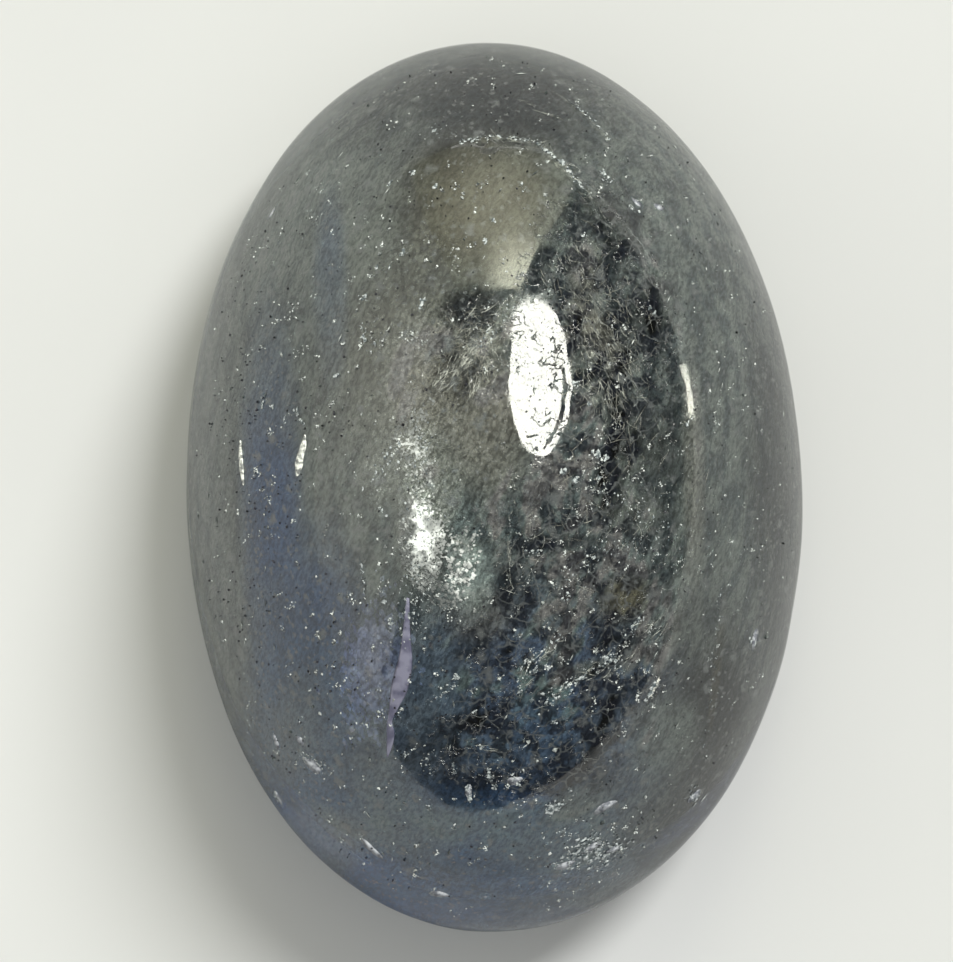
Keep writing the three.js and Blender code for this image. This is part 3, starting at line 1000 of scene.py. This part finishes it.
# bundles of thin threads
threads = {
    # from and to in mm, how far they stray, how many
    "bundles": [
        (0.14, 1.82, -0.60, 1.08, 0.05, 160), (0.16, 1.62, -0.25, 1.00, 0.05, 90),
        (0.10, 1.95, -0.35, 1.70, 0.06, 60), (0.92, 2.05, 1.45, 1.20, 0.18, 300),
        (0.95, 1.70, 1.30, 0.75, 0.18, 180), (0.70, 2.95, 1.15, 2.15, 0.18, 240),
        (0.14, -0.20, 0.14, -1.15, 0.01, 22), (0.22, -2.21, 0.67, -1.56, 0.04, 16),
        (0.46, -2.35, 1.22, -1.85, 0.05, 22), (1.22, -2.00, 1.95, -1.25, 0.08, 40),
        (1.00, -0.79, 0.67, -1.21, 0.08, 14), (0.80, 0.20, 0.30, -0.60, 0.25, 60),
        (0.00, 3.84, 1.20, 3.20, 0.05, 24), (-0.40, -2.70, 0.20, -2.85, 0.05, 14),
        (1.50, -0.10, 1.90, -0.90, 0.10, 30), (0.76, 4.36, 1.36, 3.79, 0.012, 40),
        (0.40, 4.25, 0.80, 4.02, 0.02, 24), (0.01, 3.84, 0.60, 3.74, 0.02, 30),
        (0.60, 3.74, 1.10, 3.10, 0.03, 60), (1.10, 3.10, 1.60, 2.30, 0.03, 60),
    ],
    "length": (0.05, 0.26),
    "radius": (0.0010, 0.0023),
    "depth": (0.0, 0.015),
    "turnStray": 0.4,  # radians
    "bow": 0.07,
    "curl": 0.05,
    "bends": 5,
    "finish": {"darker": (0.13, 0.14, 0.13), "paler": (0.66, 0.68, 0.62), "size": 0.08, "roughness": 0.5},
    "seed": 71,
}


def trailThreads(t, material):
    # bowed threads along straight bundles, p = from * (1 - t) + to * t, each straying by a normal chance
    rng = np.random.default_rng(t["seed"])
    rows = np.array(t["bundles"])
    row = np.repeat(rows, rows[:, 5].astype(int), axis=0)
    count = len(row)
    share = rng.uniform(0, 1, (count, 1))
    place = row[:, :2] * (1 - share) + row[:, 2:4] * share + rng.normal(size=(count, 2)) * row[:, 4:5]
    centres, normal = onStone(place[:, 0], place[:, 1], rng.uniform(*t["depth"], count))
    turn = np.arctan2(row[:, 3] - row[:, 1], row[:, 2] - row[:, 0]) + rng.normal(0, t["turnStray"], count)
    rods = bentRods(centres, lyingTurns(normal, turn), rng.uniform(*t["length"], count),
                    rng.uniform(*t["radius"], count), rng.normal(0, t["bow"], count),
                    rng.normal(0, t["curl"], count), t["bends"])
    return addPiece(meshFrom("trail_threads", *rods, False), material)


# soft flakes: tight clusters of grains, longer one way than the other
flakes = {
    "clusters": 600,
    "grains": (3, 16),
    "spread": (0.007, 0.030),
    "longer": 2.0,
    "turn": (62.0, 25.0),  # degrees, and how far it strays
    "size": (0.005, 0.014),
    "sunk": (0.0, 1.5),
    "unlike": (0.5, 1.4),
    "clumps": 0.4,
    "reach": 0.96,
    "finish": {"darker": (0.12, 0.13, 0.13), "paler": (0.72, 0.76, 0.75), "size": 0.05, "roughness": 0.5},
    # the fourth thick patch crowds pale flakes into the star's glow, partly real grains and partly painted
    # sheen
    "thick": [(1.05, 1.6, 0.5, 0.9, 1.5), (1.2, -0.3, 0.6, 0.5, 4.0), (0.9, -1.95, 0.8, 0.35, 4.0),
              (-0.85, -0.1, 0.35, 0.9, 5.0), (0.9, -4.0, 0.6, 0.3, 5.0), (-0.1, 1.5, 0.4, 0.4, 1.5)],
    "seed": 91,
}


def softFlakes(f, material):
    # each cluster is a two-way normal spread of crystals, turned its own way
    rng = np.random.default_rng(f["seed"])
    x, y = sow(rng, f["clusters"], f["reach"], f["clumps"], f["thick"], f["seed"])
    every = np.repeat(np.arange(len(x)), rng.integers(*f["grains"], len(x)))
    turn = np.radians(rng.normal(*f["turn"], len(x)))[every]
    spread = (rng.uniform(0, 1, len(x)) ** 2 * np.ptp(f["spread"]) + f["spread"][0])[every]
    along, across = rng.normal(size=(2, len(every))) * spread
    along *= f["longer"]
    size = rng.uniform(*f["size"], len(every))
    centres, _ = onStone(x[every] + along * np.cos(turn) - across * np.sin(turn),
                         y[every] + along * np.sin(turn) + across * np.cos(turn),
                         size * rng.uniform(*f["sunk"], len(every)))
    axes = size[:, None] * rng.uniform(*f["unlike"], (len(every), 3))
    return addCrystals("soft_flakes", material, centres, axes, anyTurns(len(every), rng))


# milky patches of thin plates, partly real and partly a painted star glow
milk = {
    # middle and spread in mm, how many, half size of a plate, how deep
    "patches": [
        (-0.80, -0.35, 0.11, 0.33, 2800, 0.018, 0.002), (-0.80, -0.54, 0.04, 0.11, 200, 0.024, 0.000),
        (-0.83, 0.40, 0.12, 0.20, 1300, 0.016, 0.003), (-0.58, -0.15, 0.20, 0.50, 1800, 0.022, 0.006),
        (-1.27, 0.10, 0.07, 0.14, 260, 0.014, 0.003), (-0.29, -0.92, 0.11, 0.25, 1500, 0.032, 0.028),
        (-0.72, 1.30, 0.30, 0.70, 1600, 0.030, 0.030), (-0.30, 0.55, 0.40, 0.60, 1300, 0.030, 0.030),
    ],
    "reach": (2.3, 0.8),  # how many spreads out they lie at most, and the power that draws them out
    "deeper": 0.006,  # mm on average
    "sizes": (0.4, 1.4),
    "widths": (0.5, 1.0),
    "thickness": 0.1,
    "finish": {
        "darker": (0.14, 0.15, 0.15), "paler": (0.95, 0.99, 0.97), "size": 0.05, "roughness": 0.5,
        # where they are whiter, a painted star glow: middle, half sizes, strength
        "paintedGlowCores": [((-0.80, -0.42), (0.24, 0.64), 1.5), ((-0.84, 0.40), (0.24, 0.42), 0.6),
                  ((-0.58, -0.20), (0.50, 1.00), 0.34), ((-0.30, -0.88), (0.30, 0.56), 0.8),
                  ((-1.27, 0.10), (0.18, 0.34), 0.5), ((-0.65, 0.95), (0.65, 1.20), 0.10)],
    },
    "seed": 81,
}


def milkyPatches(m, material):
    # thin plates that lie under the surface, closer together towards the middle of each patch; where they
    # crowd and whiten they paint the star's glow
    rng = np.random.default_rng(m["seed"])
    rows = np.array(m["patches"])
    row = np.repeat(rows, rows[:, 4].astype(int), axis=0)
    count = len(row)
    reach, power = m["reach"]
    out, way = reach * rng.uniform(0, 1, (count, 1)) ** power, rng.uniform(0, 2 * np.pi, count)
    place = row[:, :2] + out * np.stack([np.cos(way), np.sin(way)], -1) * row[:, 2:4]
    centres, normal = onStone(place[:, 0], place[:, 1], row[:, 6] + rng.exponential(m["deeper"], count))
    size = row[:, 5] * rng.uniform(*m["sizes"], count)
    axes = np.stack([size, size * rng.uniform(*m["widths"], count), size * m["thickness"]], -1)
    turns = lyingTurns(normal, rng.uniform(0, np.pi, count))
    return addCrystals("milky_patches_with_painted_glow", material, centres, axes, turns)


# a healed crack
crack = {
    "middle": (-1.38, -1.92),
    "spread": (0.14, 0.312),
    "lean": 0.12,  # mm across for each mm along
    "plates": 900,
    "size": (0.012, 0.045),
    "longer": 1.6,
    "thickness": 0.003,
    "depths": (0.02, 0.06),  # mm, the least, and how much deeper they lie on average
    "turn": (80.0, 25.0),  # degrees, and how far it strays
    "finish": {"darker": (0.25, 0.23, 0.36), "paler": (0.53, 0.50, 0.65), "size": 0.12, "roughness": 0.4},
    "seed": 61,
}


def healedCrack(c, material):
    # thin plates side by side under the dome, in a two-way normal spread
    rng = np.random.default_rng(c["seed"])
    count = c["plates"]
    (x0, y0), (acrossSpread, alongSpread) = c["middle"], c["spread"]
    y = y0 + rng.normal(0, alongSpread, count)
    x = x0 + rng.normal(0, acrossSpread, count) + c["lean"] * (y - y0)
    least, deeper = c["depths"]
    centres, normal = onStone(x, y, least + rng.exponential(deeper, count))
    turns = lyingTurns(normal, np.radians(rng.normal(*c["turn"], count)))
    size = rng.uniform(*c["size"], count)
    axes = np.stack([size * c["longer"], size, np.full(count, c["thickness"])], -1)
    return addCrystals("healed_crack", material, centres, axes, turns)


# broad flat flakes
broadFlakes = {
    # place, half length and half width in mm, turn from X in degrees, how deep they lie
    "places": [
        (-2.08, -3.06, 0.17, 0.11, -25, 0.006), (-2.50, -2.79, 0.12, 0.07, 80, 0.009),
        (-2.22, -2.76, 0.08, 0.07, 60, 0.007), (-2.51, -3.46, 0.11, 0.06, -60, 0.006),
        (-1.46, -4.01, 0.15, 0.07, -65, 0.010), (-0.70, -4.55, 0.14, 0.07, 0, 0.006),
        (-0.19, -4.57, 0.08, 0.08, 0, 0.006), (2.18, -3.50, 0.10, 0.10, 0, 0.006),
        (2.86, -1.74, 0.13, 0.08, 80, 0.006), (1.15, -3.54, 0.13, 0.08, 20, 0.005),
        (1.86, 3.04, 0.11, 0.05, 10, 0.006), (1.62, 3.08, 0.10, 0.05, -25, 0.008),
        (-2.43, 3.12, 0.11, 0.06, 45, 0.008), (1.00, -4.02, 0.12, 0.07, 25, 0.006),
        (0.70, -4.22, 0.13, 0.07, 10, 0.006), (1.25, -4.06, 0.09, 0.06, 30, 0.007),
        (0.16, -3.20, 0.09, 0.07, 40, 0.008), (-0.35, -3.32, 0.10, 0.04, 85, 0.006),
    ],
    "uneven": (0.15, 0.10),  # how far the two and the three lobes of the edge stand out
    "corners": 16,
    "thickness": 0.010,
    "finish": {"darker": (0.16, 0.17, 0.20), "paler": (0.46, 0.48, 0.52), "size": 0.06, "roughness": 0.4},
    "seed": 101,
}


def flatFlakes(f, material):
    # thin lenses with an uneven edge, r(a) = 1 + two * sin(2a + p) + three * sin(3a + q), and a tip over
    # and under the middle
    rng = np.random.default_rng(f["seed"])
    rows, corners = np.array(f["places"]), f["corners"]
    centres, normal = onStone(rows[:, 0], rows[:, 1], rows[:, 5])
    a = np.arange(corners) * 2 * np.pi / corners
    p, q = rng.uniform(0, 2 * np.pi, (2, len(rows), 1))
    two, three = f["uneven"]
    r = 1 + two * np.sin(2 * a + p) + three * np.sin(3 * a + q)
    edge = np.stack([r * np.cos(a) * rows[:, 2:3], r * np.sin(a) * rows[:, 3:4], 0 * r], -1)
    edge = np.hstack([edge, np.zeros((len(rows), 2, 3))])
    place = np.einsum("nij,npj->npi", lyingTurns(normal, np.radians(rows[:, 4])), edge) + centres[:, None]
    thick = np.zeros(corners + 2)
    thick[-2:] = -f["thickness"], f["thickness"]
    points, _ = onStone(place[..., 0], place[..., 1], rows[:, 5:6] + thick)
    ring = np.arange(corners)
    onward = np.roll(ring, -1)
    faces = np.vstack([np.stack([ring, onward, 0 * ring + corners], -1),
                       np.stack([onward, ring, 0 * ring + corners + 1], -1)])
    faces = faces[None] + np.arange(len(rows))[:, None, None] * (corners + 2)
    return addPiece(meshFrom("flat_flakes", points, None, faces.reshape(-1, 3)), material)


# flat crystals, and flat rods that paint two bright reflection streaks: places and half widths in mm along
# the middle, half thickness, how deep it lies
paleLath = {
    "pieces": {
        "pale_lath": ([(-0.96, -1.12, 0.030), (-0.99, -1.55, 0.055), (-1.00, -1.85, 0.090),
                       (-1.08, -2.15, 0.105), (-1.16, -2.40, 0.045), (-1.20, -2.52, 0.030),
                       (-1.18, -2.66, 0.080), (-1.24, -2.95, 0.012)], 0.010, 0.007),
    },
    "finish": {"darker": (0.11, 0.11, 0.17), "paler": (0.23, 0.23, 0.31), "size": 0.16, "roughness": 0.4},
}
# bright flat rods at the left: painted reflections of light, not crystals
paintedReflectionStreaks = {
    "pieces": {
        "painted_streak_long": ([(-2.05, 0.62, 0.020), (-2.07, 0.50, 0.054), (-2.11, 0.38, 0.054),
                           (-2.13, 0.28, 0.076), (-2.15, 0.16, 0.034)], 0.016, 0.005),
        "painted_streak_short": ([(-2.80, 0.58, 0.016), (-2.80, 0.40, 0.044), (-2.79, 0.24, 0.046),
                            (-2.77, 0.07, 0.020)], 0.014, 0.005),
    },
    "finish": {"darker": (0.20, 0.21, 0.21), "paler": (0.93, 0.95, 0.89), "size": 0.05, "roughness": 0.35},
}


def lath(name, row, thickness, sunk, material, sides=8, steps=40, beside=2, blunt=0.12, fullness=0.3):
    # a flat rod: p(t, a) = middle(t) + side * halfWidth(t) * cos a + normal * thickness * sin a, both
    # narrowing to the ends as a low power of a sine; the row is evened out by a moving mean
    row = np.array(row)
    at = np.linspace(0, len(row) - 1, steps)
    smooth = [np.interp(at, np.arange(len(row)), row[:, k]) for k in range(3)]
    even = np.full(2 * beside + 1, 1 / (2 * beside + 1))
    smooth = [np.convolve(np.pad(s, beside, "edge"), even, "valid") for s in smooth]
    middle, normal = onStone(smooth[0], smooth[1], sunk)
    way = np.gradient(middle, axis=0)
    side = np.cross(normal, way)
    side /= np.linalg.norm(side, axis=-1, keepdims=True)
    a = np.arange(sides) * 2 * np.pi / sides
    swell = np.sin(np.linspace(blunt, np.pi - blunt, steps)) ** fullness
    points = (middle[:, None] + side[:, None] * (smooth[2] * swell)[:, None, None] * np.cos(a)[:, None]
              + normal[:, None] * (thickness * swell)[:, None, None] * np.sin(a)[:, None])
    index = np.arange(steps * sides).reshape(steps, sides)
    turned = np.roll(index, -1, 1)
    quads = np.stack([index[:-1], index[1:], turned[1:], turned[:-1]], -1).reshape(-1, 4)
    tips = np.stack([points[0].mean(0), points[-1].mean(0)])
    caps = np.vstack([np.stack([np.full(sides, steps * sides), index[0], turned[0]], -1),
                      np.stack([np.full(sides, steps * sides + 1), turned[-1], index[-1]], -1)])
    return addPiece(meshFrom(name, np.vstack([points.reshape(-1, 3), tips]), quads, caps), material)


# Stage and light
cameraView = {
    "tall": 10.9,  # mm that the picture's height takes in at the girdle
    "offset": (-0.20, 0.075),  # mm from the stone's middle
    "turn": -1.1,  # degrees
    "lens": 200.0,
    "sensor": 36.0,
    "clip": (1.0, 2000.0),
}
stageLook = {
    "floorColour": (0.79, 0.80, 0.775),
    "floorShade": 0.97,  # how dark the paper's soft clouds are
    "floorClouds": {"Size": 6.0, "Low": 0.2, "High": 0.8},
    "floorRoughness": 0.8,
    "floorSpecular": 0.2,
    "floorHalf": 420.0,
    "mirroredLoss": (0.15, 0.31),  # how much darker the polish mirrors the paper, at the left and right
    "mirroredReach": 12.0,  # mm from the stone's middle, where it is least and most
    "sky": (0.08, 0.085, 0.08),
    "softSky": (0.40, 0.40, 0.40),  # what matt surfaces get
    "backdrop": (0.80, 0.80, 0.78),
}
# direction as azimuth from +Y towards +X and elevation, half angles across and along, all in degrees
paperLamp = {"towards": (39.0, 47.0), "half": (12.0, 8.0), "distance": 1500.0, "bright": 25.0,
             "colour": (1.0, 1.0, 1.0)}
stoneLamp = {"towards": (37.4, 62.0), "half": (15.2, 19.4), "distance": 260.0, "bright": 13.5,
             "colour": (1.0, 1.0, 0.91)}


def makeCamera(v):
    # straight above, so far up that the picture takes in its height at the girdle
    data = bpy.data.cameras.new("downCamera")
    data.lens = v["lens"]
    data.sensor_width = v["sensor"]
    data.clip_start, data.clip_end = (near * mm for near in v["clip"])
    camera = bpy.data.objects.new("downCamera", data)
    distance = v["tall"] * v["lens"] / v["sensor"]
    camera.location = (v["offset"][0] * mm, v["offset"][1] * mm, (cut["girdle"] + distance) * mm)
    camera.rotation_euler = (0, 0, math.radians(v["turn"]))
    bpy.context.scene.collection.objects.link(camera)
    bpy.context.scene.camera = camera


def outTowards(azimuth, elevation):
    # (sin a cos e, cos a cos e, sin e), so the azimuth runs from +Y towards +X
    a, e = math.radians(azimuth), math.radians(elevation)
    return Vector((math.sin(a) * math.cos(e), math.cos(a) * math.cos(e), math.sin(e)))


def makeLamp(name, v, lit, notCast=()):
    # an elliptical area lamp that faces the stone, its long side in line with the stone's length; its power
    # is its brightness times pi and its area
    out = outTowards(*v["towards"])
    lengthwise = (Vector((0, 1, 0)) - out * out.y).normalized()
    distance = v["distance"] * mm
    data = bpy.data.lights.new(name, "AREA")
    data.shape = "ELLIPSE"
    data.size, data.size_y = (2 * distance * math.tan(math.radians(h)) for h in v["half"])
    data.color = v["colour"]
    data.energy = v["bright"] * math.pi * math.pi * data.size * data.size_y / 4
    lamp = bpy.data.objects.new(name, data)
    turn = Matrix((lengthwise.cross(out), lengthwise, out)).transposed().to_4x4()
    lamp.matrix_world = Matrix.Translation(out * distance) @ turn
    bpy.context.scene.collection.objects.link(lamp)
    receivers = bpy.data.collections.new(name + " lights")
    for item in lit:
        receivers.objects.link(item)
    lamp.light_linking.receiver_collection = receivers
    if notCast:
        blockers = bpy.data.collections.new(name + " shadows")
        for item in notCast:
            blockers.objects.link(item)
        for entry in blockers.collection_objects:
            entry.light_linking.link_state = "EXCLUDE"
        lamp.light_linking.blocker_collection = blockers


def stageMesh(name, points, faces):
    # a thing of the stage, from points in mm
    mesh = bpy.data.meshes.new(name)
    mesh.from_pydata([Vector(p) * mm for p in points], [], faces)
    item = bpy.data.objects.new(name, mesh)
    bpy.context.scene.collection.objects.link(item)
    return item


def makeFloor(v):
    # white paper with soft clouds; the polish alone mirrors it darker, and most so at the right
    h = v["floorHalf"]
    floor = stageMesh("paper_floor", [(-h, -h, 0), (h, -h, 0), (h, h, 0), (-h, h, 0)], [(0, 1, 2, 3)])
    material, tree, shader = newMaterial("white paper")
    where = millimetres(tree)
    tone = useGroup(tree, cloud, Vector=where, **v["floorClouds"])
    pale = v["floorColour"]
    paper = blendColours(tree, tone, [c * v["floorShade"] for c in pale], pale)
    across = addNode(tree, "ShaderNodeSeparateXYZ")
    feed(tree, across.inputs[0], where)
    darker = rangeOf(tree, across.outputs[0], -v["mirroredReach"], v["mirroredReach"], *v["mirroredLoss"])
    glossy = addNode(tree, "ShaderNodeLightPath").outputs["Is Glossy Ray"]
    mirrored = maths(tree, "MULTIPLY", glossy, darker)
    feed(tree, shader.inputs["Base Color"], blendColours(tree, mirrored, paper, (0.0, 0.0, 0.0)))
    shader.inputs["Roughness"].default_value = v["floorRoughness"]
    shader.inputs["Specular IOR Level"].default_value = v["floorSpecular"]
    floor.data.materials.append(material)
    return floor


# boards of light for the polish to mirror: rows of azimuth, lowest and highest elevation in degrees and the
# share of the height that fades out; spots are azimuth, elevation, radius in mm and extra strength
wallSpots = [(-90, 15, 190, 0.6), (9, 43, 85, 5.0), (0, 25, 120, 1.6)]
boards = {
    "room_wall": {
        "distance": 180.0, "colour": (1.0, 1.0, 0.90), "strength": 0.5, "spots": wallSpots,
        "steps": [(-142, 0, 0.5, 0.1), (-136, 0, 9, 0.1), (-130, 0, 17, 0.1), (-122, 0, 27, 0.1),
                  (-115, 0, 40, 0.15), (-100, 0, 47, 0.2), (-80, 0, 50, 0.2), (-60, 0, 52, 0.2),
                  (-50, 0, 50, 0.2), (-46, 0, 36, 0.2), (-30, 0, 41, 0.15)],
    },
    "warm_wall": {
        "distance": 180.0, "colour": (1.0, 0.99, 0.76), "strength": 0.5, "spots": wallSpots,
        "steps": [(-30, 0, 41, 0.15), (-14, 0, 46, 0.1), (5, 0, 46, 0.03), (13, 0, 45, 0.02),
                  (19, 0, 32, 0.02), (22, 0, 25, 0.02), (25, 0, 15, 0.02), (26, 0, 5, 0.02)],
    },
    "low_rim": {
        "distance": 178.0, "colour": (1.0, 1.0, 0.9), "strength": 0.75, "spots": [],
        "steps": [(26, 0, 2, 0.1), (34, 0, 4.8, 0.1), (43, 0, 4.5, 0.1), (57, 0, 2.9, 0.1), (72, 0, 2, 0.1),
                  (83, 0, 1, 0.1), (95, 0, 2, 0.1), (107, 0, 3.5, 0.1), (121, 0, 5.2, 0.1),
                  (132, 0, 5.1, 0.1), (150, 0, 6.7, 0.1), (159, 0, 6.8, 0.1), (168, 0, 5.4, 0.1),
                  (176, 0, 4.1, 0.1), (185, 0, 2.1, 0.1), (197, 0, 0.8, 0.1)],
    },
    "far_edge": {
        "distance": 178.0, "colour": (1.0, 1.0, 0.92), "strength": 2.0, "spots": [],
        "steps": [(-14, 0, 1.0, 0.3), (10, 0, 1.0, 0.3), (62, 0, 0.6, 0.3)],
    },
}
# bright low gaps between them: from and to which azimuth, and how high
gaps = {"gap_right": (75.0, 82.5, 2.9), "gap_low": (127.0, 131.0, 1.2), "gap_top": (24.5, 27.5, 1.5)}
gapFade = 0.2
gapLook = {"distance": 170.0, "colour": (1.0, 1.0, 0.85), "strength": 9.0, "spots": []}


def glowCard(name, v):
    # a lit board bent round the stone: at each azimuth it reaches from one elevation up to another, and
    # fades out over a share of its height
    distance, steps = v["distance"], v["steps"]
    points, soft = [], []
    for azimuth, low, high, fade in steps:
        for elevation in (low, high):
            out = outTowards(azimuth, 0) * distance
            points.append((out.x, out.y, distance * math.tan(math.radians(elevation))))
        soft.append(fade)
    faces = [(2 * i, 2 * i + 2, 2 * i + 3, 2 * i + 1) for i in range(len(steps) - 1)]
    card = stageMesh(name, points, faces)
    layer = card.data.uv_layers.new(name="fade")
    for loop in card.data.loops:
        layer.data[loop.index].uv = (soft[loop.vertex_index // 2], loop.vertex_index % 2)
    material = bpy.data.materials.new(name)
    material.use_nodes = True
    tree = material.node_tree
    tree.nodes.clear()
    where = millimetres(tree)
    bright = v["strength"]
    for azimuth, elevation, radius, extra in v["spots"]:
        out = outTowards(azimuth, 0) * distance
        middle = (out.x, out.y, distance * math.tan(math.radians(elevation)))
        spot = useGroup(tree, softPatch, Vector=where, Middle=middle, Half=(radius,) * 3)
        bright = maths(tree, "ADD", bright, maths(tree, "MULTIPLY", spot, extra))
    split = addNode(tree, "ShaderNodeSeparateXYZ")
    feed(tree, split.inputs[0], addNode(tree, "ShaderNodeUVMap", uv_map="fade").outputs[0])
    full = rangeOf(tree, split.outputs[1], 1.0, maths(tree, "SUBTRACT", 1.0, split.outputs[0]))
    glow = addNode(tree, "ShaderNodeEmission")
    glow.inputs["Color"].default_value = (*v["colour"], 1.0)
    feed(tree, glow.inputs["Strength"], maths(tree, "MULTIPLY", bright, full))
    tree.links.new(glow.outputs[0], addNode(tree, "ShaderNodeOutputMaterial").inputs["Surface"])
    material.cycles.emission_sampling = "NONE"
    card.data.materials.append(material)


def makeSky(v):
    # the camera sees a pale backdrop, matt surfaces get a soft even light and the polish mirrors a dim room
    world = bpy.data.worlds.new("dim room")
    world.use_nodes = True
    tree = world.node_tree
    path = addNode(tree, "ShaderNodeLightPath")
    seen = tree.nodes["Background"].outputs[0]
    tree.nodes["Background"].inputs["Color"].default_value = (*v["sky"], 1.0)
    for ray, colour in (("Is Diffuse Ray", v["softSky"]), ("Is Camera Ray", v["backdrop"])):
        other = addNode(tree, "ShaderNodeBackground")
        other.inputs["Color"].default_value = (*colour, 1.0)
        pick = addNode(tree, "ShaderNodeMixShader")
        for socket, link in zip(pick.inputs, (path.outputs[ray], seen, other.outputs[0])):
            tree.links.new(link, socket)
        seen = pick.outputs[0]
    tree.links.new(seen, tree.nodes["World Output"].inputs["Surface"])
    world.cycles.sampling_method = "NONE"
    bpy.context.scene.world = world


# Making it all
makeCamera(cameraView)
floor = makeFloor(stageLook)
makeSky(stageLook)
print("camera and stage ready")

stone = polishedStone()
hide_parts(stoneNode)
silkFinish = inclusionMaterial("rutile silk", **silk["finish"])
inside = [
    silkNeedles(silk, silkFinish),
    silkWisps(silk, silkFinish),
    paleGrains(dust, inclusionMaterial("pale dust", **dust["finish"])),
    darkGrainsAndPitShade(darkSpecksAndPitShade, inclusionMaterial("dark crystals and painted pit shade", **darkSpecksAndPitShade["finish"])),
    crystalTrails(crystals, inclusionMaterial("pale crystals", **crystals["finish"])),
    trailThreads(threads, inclusionMaterial("silk threads", **threads["finish"])),
    softFlakes(flakes, inclusionMaterial("soft flakes", **flakes["finish"])),
    milkyPatches(milk, inclusionMaterial("milky plates with painted star glow", **milk["finish"])),
    healedCrack(crack, inclusionMaterial("lavender veil", **crack["finish"])),
    flatFlakes(broadFlakes, inclusionMaterial("flat flakes", **broadFlakes["finish"])),
]
for title, look in (("pale lath", paleLath), ("painted reflection streaks", paintedReflectionStreaks)):
    finish = inclusionMaterial(title, **look["finish"])
    inside += [lath(name, *shape, finish) for name, shape in look["pieces"].items()]
print("stone ready")

for name, board in boards.items():
    glowCard(name, board)
for name, (start, end, top) in gaps.items():
    glowCard(name, {**gapLook, "steps": [(start, 0, top, gapFade), (end, 0, top, gapFade)]})
makeLamp("lamp_on_paper", paperLamp, [floor])
makeLamp("lamp_on_stone", stoneLamp, [stone, *inside], notCast=[stone])
bpy.context.scene.view_settings.view_transform = "Standard"
print("lamps ready")
